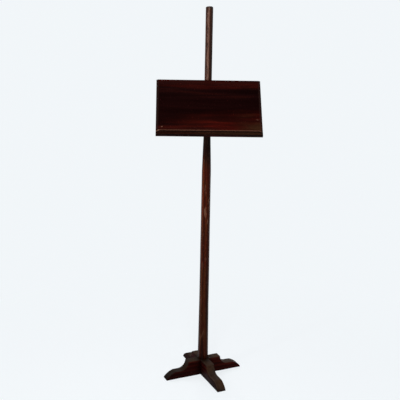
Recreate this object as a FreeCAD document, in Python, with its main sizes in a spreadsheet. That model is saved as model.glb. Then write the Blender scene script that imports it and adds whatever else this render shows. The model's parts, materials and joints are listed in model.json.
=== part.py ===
import FreeCAD, Part
import math
import os
import re
import Sketcher

# Standing reading desk of dark hardwood, in millimetres and degrees.
# A tall pole stands in a crossed foot of two half-lapped beams. It is eight-sided below and turned
# round above. A sloped desk slides and swivels on the round part by two bored arms, and rests on a
# block that a wooden hand screw clamps to the pole.
# The origin is on the floor under the pole's axis. The desk faces -Y and the foot is turned from it.

SIZES = {
    # whole stand
    "stand_height": 1650,
    "base_angle": 22,
    # crossed foot
    "beam_width": 41,
    "beam_height": 72,
    "lap_height": 36,
    "cove_radius": 38,
    "side_reach": 188,
    "front_reach": 204,
    "back_reach": 188,
    "short_instep": 24,
    "long_instep": 40,
    "toe_run": 44,
    "toe_tip": 4,
    "toe_radius": 81,
    "foot_arris": 1.8,
    # pole
    "tenon_radius": 14,
    "foot_facet": 45.2,
    "waist_facet": 40.8,
    "top_facet": 34.6,
    "waist_height": 332,
    "arris_wear": 0.6,
    "neck_height": 950,
    "round_height": 1105,
    "top_radius": 15.5,
    "dome_height": 7,
    # wedge in the tenon
    "wedge_height": 44,
    "wedge_foot": 5,
    "wedge_tip": 1.4,
    "wedge_width": 24,
    # desk board
    "desk_slope": 54,
    "desk_top": 1347.8,
    "desk_gap": 3.8,
    "desk_width": 437,
    "desk_length": 265,
    "board_thick": 12,
    "bevel_width": 8,
    "bevel_depth": 2.5,
    "rebate_depth": 1.5,
    # ledge
    "ledge_height": 19.6,
    "ledge_depth": 12.8,
    "hip_run": 16,
    "nose_radius": 2.4,
    "flute_foot": 7.5,
    "flute_width": 7.5,
    "flute_radius": 4.1,
    "bead_radius": 6.5,
    # battens
    "batten_thick": 12,
    "batten_width": 38,
    "batten_margin": 49.5,
    "batten_stop": 27,
    "batten_chamfer": 3,
    "spine_width": 62,
    # arms
    "arm_thick": 26,
    "arm_wall": 12.2,
    "upper_arm_drop": 6,
    "lower_arm_rise": 19,
    "arm_arris": 2.2,
    "sliding_gap": 0.3,
    # clamp block and hand screw
    "rest_gap": 0.3,
    "block_height": 40,
    "block_wall": 12.2,
    "block_back": 30,
    "block_corner": 8,
    "block_arris": 2.2,
    "screw_radius": 8,
    "thread_gap": 0.3,
    "screw_reach": 4,
    "shoulder_radius": 13,
    "shoulder_thick": 7,
    "shoulder_chamfer": 2.4,
    "grip_neck": 7,
    "grip_radius": 21,
    "grip_length": 42,
    "grip_thick": 15,
    "grip_sunk": 2,
    "grip_chamfer": 3.2,
    "shoe_thick": 3,
    "shoe_play": 0.2,
    "shoe_lip": 0.4,
    "spigot_radius": 3,
    "spigot_length": 5,
    "spigot_gap": 0.1,
    # wood screws
    "head_radius": 3.6,
    "head_height": 2.6,
    "shank_radius": 1.9,
    "short_screw": 19,
    "long_screw": 24,
    "drill_gap": 0.05,
    "batten_screw_inset": 24,
    "spine_screw_spread": 35,
    "arm_screw_rise": 4,
    "ledge_screw_inset": 34.5,
    # how far cuts run past what they cut
    "overrun": 10,
}

# measured places closer than this are the same
NEAR = 0.01

doc = FreeCAD.newDocument("reading_desk")
sheet = doc.addObject("Spreadsheet::Sheet", "Sizes")
for row, (alias, size) in enumerate(SIZES.items(), start=1):
    sheet.set(f"A{row}", alias)
    sheet.set(f"B{row}", str(size))
    sheet.setAlias(f"B{row}", alias)
doc.recompute()


def formula(text):
    """Writes a sum of size names the way the document's expressions need it."""
    return re.sub(r"[a-z]+_[a-z_]+|overrun", r"Sizes.\g<0>", text)


def worth(text):
    """The number that a sum of size names comes to."""
    return float(sheet.evalExpression(formula(text)))


def bind(thing, **sums):
    """Binds properties to the sheet. Base_x and its like stand for parts of the Placement."""
    places = {"Base_x": "Placement.Base.x", "Base_y": "Placement.Base.y", "Base_z": "Placement.Base.z",
              "Turn": "Placement.Rotation.Angle", "Lift": "AttachmentOffset.Base.z"}
    for name, text in sums.items():
        thing.setExpression(places.get(name, name), formula(text))


def new_body(name):
    """A body with a name and a label of its own."""
    body = doc.addObject("PartDesign::Body", name)
    body.Label = name
    return body


def new_sketch(body, name, plane, lift=None):
    """A sketch on one of the body's own planes, raised along the plane's normal by a sum of sizes."""
    sketch = body.newObject("Sketcher::SketchObject", name)
    support = [item for item in body.Origin.OriginFeatures if item.Role == plane][0]
    sketch.AttachmentSupport = [(support, "")]
    sketch.MapMode = "FlatFace"
    if lift:
        bind(sketch, Lift=lift)
    return sketch


def outline(sketch, corners):
    """A closed outline. A corner is (across, up); with (across, up, radius, side) an arc that bows
    to that side, +1 for left and -1 for right, leads on to the next corner."""
    spots = [FreeCAD.Vector(worth(corner[0]), worth(corner[1]), 0) for corner in corners]
    ends = []
    for number, corner in enumerate(corners):
        start, stop = spots[number], spots[(number + 1) % len(spots)]
        if len(corner) == 2:
            piece = sketch.addGeometry(Part.LineSegment(start, stop))
        else:
            radius = worth(corner[2])
            chord = stop - start
            rise = radius - math.sqrt(radius ** 2 - (chord.Length / 2) ** 2)
            across = FreeCAD.Vector(-chord.y, chord.x, 0) / chord.Length
            middle = (start + stop) / 2 + across * rise * corner[3]
            piece = sketch.addGeometry(Part.Arc(start, middle, stop))
        # a sketch numbers an arc's ends counterclockwise, so the start may be either of them
        ends.append((piece, sorted((1, 2), key=lambda end: (sketch.getPoint(piece, end) - start).Length)))
    for number, corner in enumerate(corners):
        piece, (first, _) = ends[number]
        before, (_, last) = ends[number - 1]
        sketch.addConstraint(Sketcher.Constraint("Coincident", before, last, piece, first))
        for kind, text in (("DistanceX", corner[0]), ("DistanceY", corner[1])):
            rule = sketch.addConstraint(Sketcher.Constraint(kind, -1, 1, piece, first, worth(text)))
            sketch.setExpression(f"Constraints[{rule}]", formula(text))
        if len(corner) == 4:
            rule = sketch.addConstraint(Sketcher.Constraint("Radius", piece, worth(corner[2])))
            sketch.setExpression(f"Constraints[{rule}]", formula(corner[2]))


def circle(sketch, across, up, radius):
    """A circle whose centre and radius are bound to the sheet."""
    centre = FreeCAD.Vector(worth(across), worth(up), 0)
    ring = sketch.addGeometry(Part.Circle(centre, FreeCAD.Vector(0, 0, 1), worth(radius)))
    origin_to_centre = (-1, 1, ring, 3)
    rules = [("DistanceX", origin_to_centre, across), ("DistanceY", origin_to_centre, up), ("Radius", (ring,), radius)]
    for kind, where, text in rules:
        rule = sketch.addConstraint(Sketcher.Constraint(kind, *where, worth(text)))
        sketch.setExpression(f"Constraints[{rule}]", formula(text))


def pad(body, name, sketch, length, both_ways=False, backwards=False):
    """Raises a sketch into a solid, to one side or evenly to both."""
    feature = body.newObject("PartDesign::Pad", name)
    feature.Profile = sketch
    feature.SideType = "Symmetric" if both_ways else "One side"
    feature.Reversed = backwards
    bind(feature, Length=length)
    return feature


def cut_through(body, name, sketch):
    """Cuts a sketch through the whole body, both ways."""
    feature = body.newObject("PartDesign::Pocket", name)
    feature.Profile = sketch
    feature.Type = "ThroughAll"
    feature.SideType = "Symmetric"
    return feature


def revolve(body, name, sketch, kind="Revolution"):
    """Turns a sketch once round its own upright axis."""
    feature = body.newObject("PartDesign::" + kind, name)
    feature.Profile = sketch
    feature.ReferenceAxis = (sketch, ["V_Axis"])
    feature.Angle = 360
    return feature


def chamfer(body, name, feature, size, chosen):
    """Chamfers the edges of a feature that the chosen test picks."""
    doc.recompute()
    edges = feature.Shape.Edges
    names = [f"Edge{number}" for number, edge in enumerate(edges, start=1) if chosen(edge)]
    arris = body.newObject("PartDesign::Chamfer", name)
    arris.Base = (feature, names)
    bind(arris, Size=size)
    return arris


def box_corners(left, low, right, high):
    """The corners of an upright rectangle."""
    return [(left, low), (right, low), (right, high), (left, high)]


# The crossed foot


def foot_beam(name, near, far, plane, keep_low):
    """A beam stepped down at each end in a hollow, a flat instep and a rounded toe, half-lapped and
    bored for the tenon. An end is given by its reach and its instep."""
    toe_top = "(beam_height - cove_radius)"
    ends = []
    for reach, instep in (near, far):
        toe_start = f"({reach} - toe_run)"
        cove_end = f"({toe_start} - {instep})"
        ends.append((reach, toe_start, cove_end, f"({cove_end} - cove_radius)"))
    (near_tip, near_toe, near_cove, near_block), (far_tip, far_toe, far_cove, far_block) = ends
    corners = [
        (f"-{near_tip}", "0"),
        (f"-{near_tip}", "toe_tip", "toe_radius", 1),
        (f"-{near_toe}", toe_top),
        (f"-{near_cove}", toe_top, "cove_radius", -1),
        (f"-{near_block}", "beam_height"),
        (far_block, "beam_height", "cove_radius", -1),
        (far_cove, toe_top),
        (far_toe, toe_top, "toe_radius", 1),
        (far_tip, "toe_tip"),
        (far_tip, "0"),
    ]
    body = new_body(name)
    side = new_sketch(body, name + "_side", plane)
    outline(side, corners)
    blank = pad(body, name + "_blank", side, "beam_width", both_ways=True)
    across = 1 if plane == "XZ_Plane" else 0
    half, tip = worth("beam_width / 2"), worth("toe_tip")

    def long_arris(edge):
        points = [vertex.Point for vertex in edge.Vertexes]
        on_side = all(abs(abs(point[across]) - half) < NEAR for point in points)
        same_side = len({point[across] > 0 for point in points}) == 1
        return on_side and same_side and max(point.z for point in points) > tip + NEAR

    chamfer(body, name + "_arris", blank, "foot_arris", long_arris)
    low, high = ("lap_height", "beam_height + overrun") if keep_low else ("-overrun", "lap_height")
    lap = new_sketch(body, name + "_lap", plane)
    outline(lap, box_corners("-beam_width / 2", low, "beam_width / 2", high))
    cut_through(body, name + "_notch", lap)
    hole = new_sketch(body, name + "_hole", "XY_Plane")
    circle(hole, "0", "0", "tenon_radius")
    cut_through(body, name + "_mortise", hole)
    return turn_base(body)


def turn_base(thing):
    """Turns a piece of the stand about the pole's axis, away from where the desk faces."""
    thing.Placement = FreeCAD.Placement(FreeCAD.Vector(), FreeCAD.Rotation(FreeCAD.Vector(0, 0, 1), 1))
    bind(thing, Turn="base_angle")
    return thing


# The pole


def octagon(body, name, facet, height):
    """An eight-sided section, flat to flat, with its flats square to the beams."""
    sketch = new_sketch(body, name, "XY_Plane", height)
    corner_radius = f"({facet} / 2 / cos(22.5 deg))"
    turns = [f"({side} * 45 deg + 22.5 deg)" for side in range(8)]
    outline(sketch, [(f"({corner_radius} * cos{turn})", f"({corner_radius} * sin{turn})") for turn in turns])
    return sketch


def worn_arris(facet):
    """The radius to which the corners of an eight-sided section are worn."""
    return f"({facet} / 2 / cos(22.5 deg) - arris_wear)"


def make_pole():
    """An eight-sided tapered shaft, turned away to a round above its neck, with a tenon and a kerf."""
    body = new_body("pole")
    foot = octagon(body, "pole_foot", "foot_facet", "beam_height")
    waist = octagon(body, "pole_waist", "waist_facet", "waist_height")
    top = octagon(body, "pole_top", "top_facet", "stand_height")
    shaft = body.newObject("PartDesign::AdditiveLoft", "pole_shaft")
    shaft.Profile = foot
    shaft.Sections = [waist, top]
    shaft.Ruled = True
    neck_share = "(neck_height - waist_height) / (stand_height - waist_height)"
    neck_facet = f"(waist_facet + (top_facet - waist_facet) * {neck_share})"
    dome_radius = "((top_radius ^ 2 + dome_height ^ 2) / (2 * dome_height))"
    outside = "(foot_facet + overrun)"
    turning = new_sketch(body, "pole_turning", "XZ_Plane")
    outline(turning, [
        (worn_arris("foot_facet"), "beam_height - overrun"),
        (worn_arris("foot_facet"), "beam_height"),
        (worn_arris("waist_facet"), "waist_height"),
        (worn_arris(neck_facet), "neck_height"),
        ("top_radius", "round_height"),
        ("top_radius", "stand_height - dome_height", dome_radius, -1),
        ("0", "stand_height"),
        ("0", "stand_height + overrun"),
        (outside, "stand_height + overrun"),
        (outside, "beam_height - overrun"),
    ])
    revolve(body, "pole_turned", turning, "Groove")
    tenon = new_sketch(body, "pole_tenon", "XY_Plane")
    circle(tenon, "0", "0", "tenon_radius")
    pad(body, "pole_foot_tenon", tenon, "beam_height")
    kerf = new_sketch(body, "pole_kerf", "XZ_Plane")
    outline(kerf, wedge_corners())
    cut_through(body, "pole_split", kerf)
    return turn_base(body)


def wedge_corners():
    """The wedge's side, thick at the foot of the tenon."""
    return [("-wedge_foot / 2", "0"), ("wedge_foot / 2", "0"), ("wedge_tip / 2", "wedge_height"),
            ("-wedge_tip / 2", "wedge_height")]


def make_wedge():
    """The wedge that spreads the tenon from below."""
    body = new_body("tenon_wedge")
    side = new_sketch(body, "wedge_side", "XZ_Plane")
    outline(side, wedge_corners())
    pad(body, "wedge_blank", side, "wedge_width", both_ways=True)
    return turn_base(body)


# The desk. Its pieces are drawn flat, with the face at zero, the top arris on the X axis and the
# board running down the -Y side, and are then laid on the slope. The battens stop short of the top
# arris, so that their back comes no nearer to the pole than the board does.

SINE = "sin(desk_slope * 1 deg)"
COSINE = "cos(desk_slope * 1 deg)"
DESK_FRONT = f"(-(top_radius + desk_gap + board_thick * {SINE}))"
BACK = "(board_thick + batten_thick)"
BATTEN_INSET = f"(batten_thick * {SINE} / {COSINE})"
BATTEN_PLACE = "(desk_width / 2 - batten_margin - batten_width / 2)"
BORE = "(top_radius + sliding_gap)"


def height_on_slope(down, behind):
    """Height of a point so far down the slope and so far behind the face."""
    return f"(desk_top - {SINE} * {down} - {COSINE} * {behind})"


UPPER_ARM_FOOT = f"({height_on_slope(BATTEN_INSET, BACK)} - upper_arm_drop - arm_thick)"
LOWER_ARM_FOOT = f"({height_on_slope('(desk_length - batten_stop)', BACK)} + lower_arm_rise)"


def lay_on_slope(thing):
    """Lays a piece that was drawn flat on the desk's slope."""
    thing.Placement = FreeCAD.Placement(FreeCAD.Vector(), FreeCAD.Rotation(FreeCAD.Vector(1, 0, 0), 1))
    bind(thing, Base_y=DESK_FRONT, Base_z="desk_top", Turn="desk_slope")
    return thing


def wood_screws(name, places, head_level, length, forward, play="0"):
    """A group of countersunk screws. Each place is (across, down the slope); they point forward to
    the face or back from it. With play they are the holes that the screws go in."""
    group = []
    for number, (across, down) in enumerate(places, start=1):
        head = doc.addObject("Part::Cone", f"{name}_head_{number}")
        bind(head, Radius1=f"head_radius + {play}", Radius2=f"shank_radius + {play}", Height="head_height")
        shank = doc.addObject("Part::Cylinder", f"{name}_shank_{number}")
        bind(shank, Radius=f"shank_radius + {play}", Height=f"{length} + {play}")
        screw = doc.addObject("Part::Fuse", f"{name}_{number}")
        screw.Base = head
        screw.Tool = shank
        half_turn = 0 if forward else 180
        screw.Placement = FreeCAD.Placement(FreeCAD.Vector(), FreeCAD.Rotation(FreeCAD.Vector(1, 0, 0), half_turn))
        bind(screw, Base_x=across, Base_y=f"-({down})", Base_z=f"-({head_level})")
        group.append(screw)
    bundle = doc.addObject("Part::Compound", name)
    bundle.Links = group
    bundle.Label = name
    return lay_on_slope(bundle)


def drilled(piece, name, holes):
    """The piece with holes cut for its screws."""
    piece.Label = name + "_blank"
    left = piece
    for number, tool in enumerate(holes, start=1):
        cut = doc.addObject("Part::Cut", f"{name}_drilled_{number}")
        cut.Base = left
        cut.Tool = tool
        left = cut
    left.Label = name
    return left


def make_board():
    """The sloped board, bevelled along both sides down to a shallow rebate that seats the ledge."""
    body = new_body("desk_board_body")
    face = new_sketch(body, "board_face", "XY_Plane")
    outline(face, box_corners("-desk_width / 2", "-desk_length", "desk_width / 2", "0"))
    pad(body, "board_blank", face, "board_thick", backwards=True)
    seat = new_sketch(body, "ledge_seat", "YZ_Plane")
    outline(seat, box_corners("-desk_length - overrun", "-rebate_depth", "ledge_height - desk_length", "overrun"))
    cut_through(body, "ledge_rebate", seat)
    for side, word in ((-1, "left"), (1, "right")):
        bevel = new_sketch(body, f"{word}_bevel", "XZ_Plane")
        edge = f"{side} * desk_width / 2"
        outline(bevel, [
            (f"{edge} - {side} * bevel_width", "0"),
            (edge, "-bevel_depth"),
            (f"{edge} + {side} * overrun", "-bevel_depth"),
            (f"{edge} + {side} * overrun", "0"),
        ])
        pocket = body.newObject("PartDesign::Pocket", f"{word}_bevel_cut")
        pocket.Profile = bevel
        pocket.Reversed = True
        bind(pocket, Length="desk_length - ledge_height")
    return lay_on_slope(body)


def make_ledge():
    """The moulded ledge: a round nose, a flute and a bead, with its ends cut back to a hip."""
    body = new_body("ledge_body")
    nose_low = "(flute_foot + flute_width - desk_length)"
    section = new_sketch(body, "ledge_section", "YZ_Plane")
    outline(section, [
        ("-desk_length", "-rebate_depth"),
        ("ledge_height - desk_length", "-rebate_depth"),
        ("ledge_height - desk_length", "ledge_depth - nose_radius", "nose_radius", 1),
        ("ledge_height - nose_radius - desk_length", "ledge_depth"),
        (nose_low, "ledge_depth", "flute_radius", -1),
        ("flute_foot - desk_length", "ledge_depth"),
        ("bead_radius - desk_length", "ledge_depth", "bead_radius", 1),
        ("-desk_length", "ledge_depth - bead_radius"),
    ])
    pad(body, "ledge_blank", section, "desk_width", both_ways=True)
    for side, word in ((-1, "left"), (1, "right")):
        hip = new_sketch(body, f"{word}_hip", "XZ_Plane")
        edge = f"{side} * desk_width / 2"
        rise = "overrun * ledge_depth / hip_run"
        outline(hip, [
            (edge, "0"),
            (f"{edge} + {side} * overrun", f"-{rise}"),
            (f"{edge} + {side} * overrun", "ledge_depth + overrun"),
            (f"{edge} - {side} * (hip_run + overrun * hip_run / ledge_depth)", "ledge_depth + overrun"),
        ])
        cut_through(body, f"{word}_hip_cut", hip)
    return lay_on_slope(body)


def make_batten(name, place, width):
    """A flat batten behind the board, chamfered round its back."""
    body = new_body(name + "_body")
    plan = new_sketch(body, name + "_plan", "XY_Plane", "-board_thick")
    outline(plan, box_corners(f"{place} - {width} / 2", "batten_stop - desk_length",
                              f"{place} + {width} / 2", f"-{BATTEN_INSET}"))
    blank = pad(body, name + "_plank", plan, "batten_thick", backwards=True)
    back = -worth(BACK)
    chamfer(body, name + "_chamfer", blank, "batten_chamfer",
            lambda edge: all(abs(vertex.Z - back) < NEAR for vertex in edge.Vertexes))
    return lay_on_slope(body)


def batten_back(height):
    """How far in front of the pole's axis the battens' back is, at a height."""
    return f"({DESK_FRONT} + ({BACK} + {COSINE} * ({height} - desk_top)) / {SINE})"


def make_arm(name, foot):
    """An arm that reaches back from the centre batten and goes round the pole, its corners clipped."""
    body = new_body(name + "_body")
    outer = f"({BORE} + arm_wall)"
    clip = f"({outer} * tan(22.5 deg))"
    front = f"({batten_back(foot)} - overrun)"
    plan = new_sketch(body, name + "_plan", "XY_Plane", foot)
    outline(plan, [
        (f"-{outer}", front),
        (outer, front),
        (outer, clip),
        (clip, outer),
        (f"-{clip}", outer),
        (f"-{outer}", clip),
    ])
    blank = pad(body, name + "_plank", plan, "arm_thick")
    low, high = worth(foot), worth(f"{foot} + arm_thick")

    def level_arris(edge):
        heights = [vertex.Z for vertex in edge.Vertexes]
        on_face = max(heights) < low + NEAR or min(heights) > high - NEAR
        return on_face and max(vertex.Y for vertex in edge.Vertexes) > worth(front) + NEAR

    chamfer(body, name + "_arris", blank, "arm_arris", level_arris)
    slope = new_sketch(body, name + "_slope", "YZ_Plane")
    under, over = f"({foot} - overrun)", f"({foot} + arm_thick + overrun)"
    outline(slope, [
        (batten_back(under), under),
        (batten_back(over), over),
        (f"{front} - desk_length", over),
        (f"{front} - desk_length", under),
    ])
    cut_through(body, name + "_sloped_end", slope)
    bore = new_sketch(body, name + "_bore", "XY_Plane")
    circle(bore, "0", "0", BORE)
    cut_through(body, name + "_bored", bore)
    return body


# The clamp: a block round the pole, a wooden hand screw through its back, and the screw's shoe

BLOCK_FOOT = f"({UPPER_ARM_FOOT} - rest_gap - block_height)"
BLOCK_REAR = f"({BORE} + block_back)"
SCREW_LEVEL = f"({BLOCK_FOOT} + block_height / 2)"
SHOE_BACK = f"({BORE} + shoe_thick)"
SCREW_TIP = f"({SHOE_BACK} + spigot_gap)"


def make_block():
    """The block, clipped at its corners and bored for the pole and for the hand screw."""
    body = new_body("clamp_block")
    outer = f"({BORE} + block_wall)"
    clip = f"({outer} * tan(22.5 deg))"
    plan = new_sketch(body, "block_plan", "XY_Plane", BLOCK_FOOT)
    outline(plan, [
        (f"-{outer}", f"-{clip}"),
        (f"-{clip}", f"-{outer}"),
        (clip, f"-{outer}"),
        (outer, f"-{clip}"),
        (outer, f"{BLOCK_REAR} - block_corner"),
        (f"{outer} - block_corner", BLOCK_REAR),
        (f"block_corner - {outer}", BLOCK_REAR),
        (f"-{outer}", f"{BLOCK_REAR} - block_corner"),
    ])
    blank = pad(body, "block_blank", plan, "block_height")
    middle = worth(SCREW_LEVEL)
    chamfer(body, "block_arrises", blank, "block_arris",
            lambda edge: len({vertex.Z > middle for vertex in edge.Vertexes}) == 1)
    bore = new_sketch(body, "block_bore", "XY_Plane")
    circle(bore, "0", "0", BORE)
    cut_through(body, "block_bored", bore)
    tapped = new_sketch(body, "block_screw_hole", "XZ_Plane")
    circle(tapped, "0", SCREW_LEVEL, "screw_radius + thread_gap")
    pocket = body.newObject("PartDesign::Pocket", "block_tapped")
    pocket.Profile = tapped
    pocket.Type = "ThroughAll"
    pocket.Reversed = False
    return body


def make_hand_screw():
    """A wooden screw: a plain shank, a turned shoulder and a flat grip for finger and thumb."""
    body = new_body("hand_screw")
    shoulder = f"({BLOCK_REAR} + screw_reach)"
    root = f"({shoulder} + shoulder_thick)"
    middle = f"({root} + grip_length / 2)"
    end = f"({root} + grip_length)"
    socket = "(spigot_radius + spigot_gap)"
    neck_curve = "(((grip_radius - grip_neck) ^ 2 + (grip_length / 2) ^ 2) / (2 * (grip_radius - grip_neck)))"
    end_curve = "((grip_radius ^ 2 + (grip_length / 2) ^ 2) / grip_length)"
    paddle = new_sketch(body, "grip_paddle", "XY_Plane")
    outline(paddle, [
        ("-grip_neck", f"{root} - grip_sunk"),
        ("grip_neck", f"{root} - grip_sunk"),
        ("grip_neck", root, neck_curve, -1),
        ("grip_radius", middle, end_curve, -1),
        ("0", end, end_curve, -1),
        ("-grip_radius", middle, neck_curve, -1),
        ("-grip_neck", root),
    ])
    grip = pad(body, "grip_blank", paddle, "grip_thick", both_ways=True)
    half, start = worth("grip_thick / 2"), worth(root)

    def grip_arris(edge):
        on_face = all(abs(abs(vertex.Z) - half) < NEAR for vertex in edge.Vertexes)
        one_face = len({vertex.Z > 0 for vertex in edge.Vertexes}) == 1
        return on_face and one_face and max(vertex.Y for vertex in edge.Vertexes) > start + NEAR

    chamfer(body, "grip_arrises", grip, "grip_chamfer", grip_arris)
    turning = new_sketch(body, "screw_turning", "XY_Plane")
    outline(turning, [
        ("0", f"{SCREW_TIP} + spigot_length + spigot_gap"),
        (socket, f"{SCREW_TIP} + spigot_length + spigot_gap"),
        (socket, SCREW_TIP),
        ("screw_radius", SCREW_TIP),
        ("screw_radius", shoulder),
        ("shoulder_radius", shoulder),
        ("shoulder_radius", f"{root} - shoulder_chamfer"),
        ("shoulder_radius - shoulder_chamfer", root),
        ("0", root),
    ])
    revolve(body, "screw_turned", turning)
    bind(body, Base_z=SCREW_LEVEL)
    return body


def make_shoe():
    """The brass shoe on the screw's tip: hollowed to the pole, with a spigot that the screw turns on."""
    body = new_body("screw_shoe")
    edge = "(screw_radius - shoe_play)"
    turning = new_sketch(body, "shoe_turning", "XY_Plane")
    front = f"(sqrt({BORE} ^ 2 - {edge} ^ 2) + shoe_lip)"
    outline(turning, [
        ("0", front),
        (edge, front),
        (edge, SHOE_BACK),
        ("spigot_radius", SHOE_BACK),
        ("spigot_radius", f"{SHOE_BACK} + spigot_length"),
        ("0", f"{SHOE_BACK} + spigot_length"),
    ])
    revolve(body, "shoe_turned", turning)
    hollow = new_sketch(body, "shoe_hollow", "XY_Plane")
    circle(hollow, "0", "0", BORE)
    cut_through(body, "shoe_hollowed", hollow)
    bind(body, Base_z=SCREW_LEVEL)
    return body


# Where the screws go: across the desk, and down its slope

BATTEN_FOOT = "(desk_length - batten_stop)"
BATTEN_MIDDLE = f"(({BATTEN_INSET} + {BATTEN_FOOT}) / 2)"
BATTEN_SCREWS = [
    (f"{side} * {BATTEN_PLACE}", down)
    for side in (-1, 1)
    for down in (f"({BATTEN_INSET} + batten_screw_inset)", f"({BATTEN_FOOT} - batten_screw_inset)")
] + [("0", f"({BATTEN_MIDDLE} + {side} * spine_screw_spread)") for side in (-1, 1)]
LEDGE_SCREWS = [(f"{side} * (desk_width / 2 - ledge_screw_inset)", "(desk_length - ledge_height / 2)")
                for side in (-1, 0, 1)]


def down_to(height):
    """How far down the slope the battens' back is at a height."""
    return f"((desk_top - {COSINE} * {BACK} - {height}) / {SINE})"


ARM_SCREWS = [("0", down_to(f"({foot} + arm_thick / 2 + arm_screw_rise)"))
              for foot in (UPPER_ARM_FOOT, LOWER_ARM_FOOT)]


def make_parts():
    """Every piece of the stand, by the name of its file."""
    screws, holes = {}, {}
    for name, places, level, length, forward in (
        ("batten_screws", BATTEN_SCREWS, BACK, "short_screw", True),
        ("ledge_screws", LEDGE_SCREWS, "board_thick", "short_screw", True),
        ("arm_screws", ARM_SCREWS, "board_thick", "long_screw", False),
    ):
        screws[name] = wood_screws(name, places, level, length, forward)
        holes[name] = wood_screws(name.replace("screws", "holes"), places, level, length, forward, "drill_gap")
    in_battens, in_ledge, in_arms = holes["batten_screws"], holes["ledge_screws"], holes["arm_screws"]
    side_end, back_end = ("side_reach", "short_instep"), ("back_reach", "short_instep")
    parts = {
        "side_foot_beam": foot_beam("side_foot_beam", side_end, side_end, "XZ_Plane", True),
        "front_foot_beam": foot_beam("front_foot_beam", ("front_reach", "long_instep"), back_end, "YZ_Plane", False),
        "pole": make_pole(),
        "tenon_wedge": make_wedge(),
        "clamp_block": make_block(),
        "hand_screw": make_hand_screw(),
        "screw_shoe": make_shoe(),
    }
    drilled_pieces = {
        "desk_board": (make_board(), [in_battens, in_ledge]),
        "ledge": (make_ledge(), [in_ledge]),
        "left_batten": (make_batten("left_batten", f"-{BATTEN_PLACE}", "batten_width"), [in_battens]),
        "right_batten": (make_batten("right_batten", BATTEN_PLACE, "batten_width"), [in_battens]),
        "centre_batten": (make_batten("centre_batten", "0", "spine_width"), [in_battens, in_arms]),
        "upper_arm": (make_arm("upper_arm", UPPER_ARM_FOOT), [in_arms]),
        "lower_arm": (make_arm("lower_arm", LOWER_ARM_FOOT), [in_arms]),
    }
    for name, (blank, tools) in drilled_pieces.items():
        parts[name] = drilled(blank, name, tools)
    parts.update(screws)
    return parts


parts = make_parts()
doc.recompute()
faults = [item.Name for item in doc.Objects if "Invalid" in item.State or "Error" in item.State]
faults += [name for name, piece in parts.items() if piece.Shape.isNull() or not piece.Shape.isValid()]
for name, piece in parts.items():
    box = piece.Shape.BoundBox
    print(f"{name}: {len(piece.Shape.Solids)} solid, {piece.Shape.Volume / 1000:.1f} ml,"
          f" x {box.XMin:.1f} {box.XMax:.1f}, y {box.YMin:.1f} {box.YMax:.1f}, z {box.ZMin:.1f} {box.ZMax:.1f}")
if faults:
    raise SystemExit("These objects failed: " + ", ".join(faults))
os.makedirs("parts", exist_ok=True)
for name, piece in parts.items():
    piece.Shape.exportStep(f"parts/{name}.step")
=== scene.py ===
import json
import math

import bmesh
import bpy
from mathutils import Matrix, Vector, noise


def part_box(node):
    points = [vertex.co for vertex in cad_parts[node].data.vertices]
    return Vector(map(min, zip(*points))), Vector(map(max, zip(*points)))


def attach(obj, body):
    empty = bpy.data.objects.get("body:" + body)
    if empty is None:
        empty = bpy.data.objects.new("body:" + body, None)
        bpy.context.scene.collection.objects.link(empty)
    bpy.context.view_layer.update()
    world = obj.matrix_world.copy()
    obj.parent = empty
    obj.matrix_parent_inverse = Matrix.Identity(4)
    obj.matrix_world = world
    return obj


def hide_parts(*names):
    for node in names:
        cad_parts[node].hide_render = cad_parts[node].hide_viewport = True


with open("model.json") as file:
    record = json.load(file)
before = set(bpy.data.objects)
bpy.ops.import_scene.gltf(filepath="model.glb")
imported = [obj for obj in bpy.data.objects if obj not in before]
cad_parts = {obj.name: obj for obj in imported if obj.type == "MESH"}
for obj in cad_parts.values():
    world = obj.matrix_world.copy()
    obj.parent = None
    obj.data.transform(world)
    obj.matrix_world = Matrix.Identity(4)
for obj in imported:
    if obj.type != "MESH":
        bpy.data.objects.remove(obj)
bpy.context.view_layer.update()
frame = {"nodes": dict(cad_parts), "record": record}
scene = bpy.context.scene

# The view and the studio
# The camera stands a little left of the desk at eye height and looks down on it. The floor runs into
# a pale round wall with no seam, and keeps the stand's shadow near its foot.
CAMERA_PLACE = Vector((-0.1566, -2.8821, 1.4644))
CAMERA_YAW = -2.60
CAMERA_DOWN = 12.51
CAMERA_ROLL = 1.0
FOCAL_PIXELS = 668.84
FRAME_PIXELS = 400
SENSOR_MM = 36
BACKGROUND = (0.885, 0.922, 0.948, 1)
STUDIO_RADIUS = 7.0
WALL_COVE = 1.2
WALL_TOP = 6.0
SHADOW_NEAR = 0.25
SHADOW_FAR = 1.5
WORLD_GREY = (0.15, 0.153, 0.16, 1)
LAMP_TARGET = Vector((0, 0, 0.9))


def turn(axis, degrees):
    """A turn about one axis, as a matrix."""
    return Matrix.Rotation(math.radians(degrees), 4, axis)


def shader(tree, kind, sockets=None, **settings):
    """A shader node with its settings made and its sockets filled or joined."""
    made = tree.nodes.new("ShaderNode" + kind)
    for name, value in settings.items():
        setattr(made, name, value)
    for name, value in (sockets or {}).items():
        if isinstance(value, bpy.types.NodeSocket):
            tree.links.new(value, made.inputs[name])
        else:
            made.inputs[name].default_value = value
    return made


def sum_of(tree, operation, first, second, third=None):
    """One step of arithmetic in a shader."""
    sockets = {0: first, 1: second} if third is None else {0: first, 1: second, 2: third}
    return shader(tree, "Math", sockets, operation=operation).outputs[0]


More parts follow.
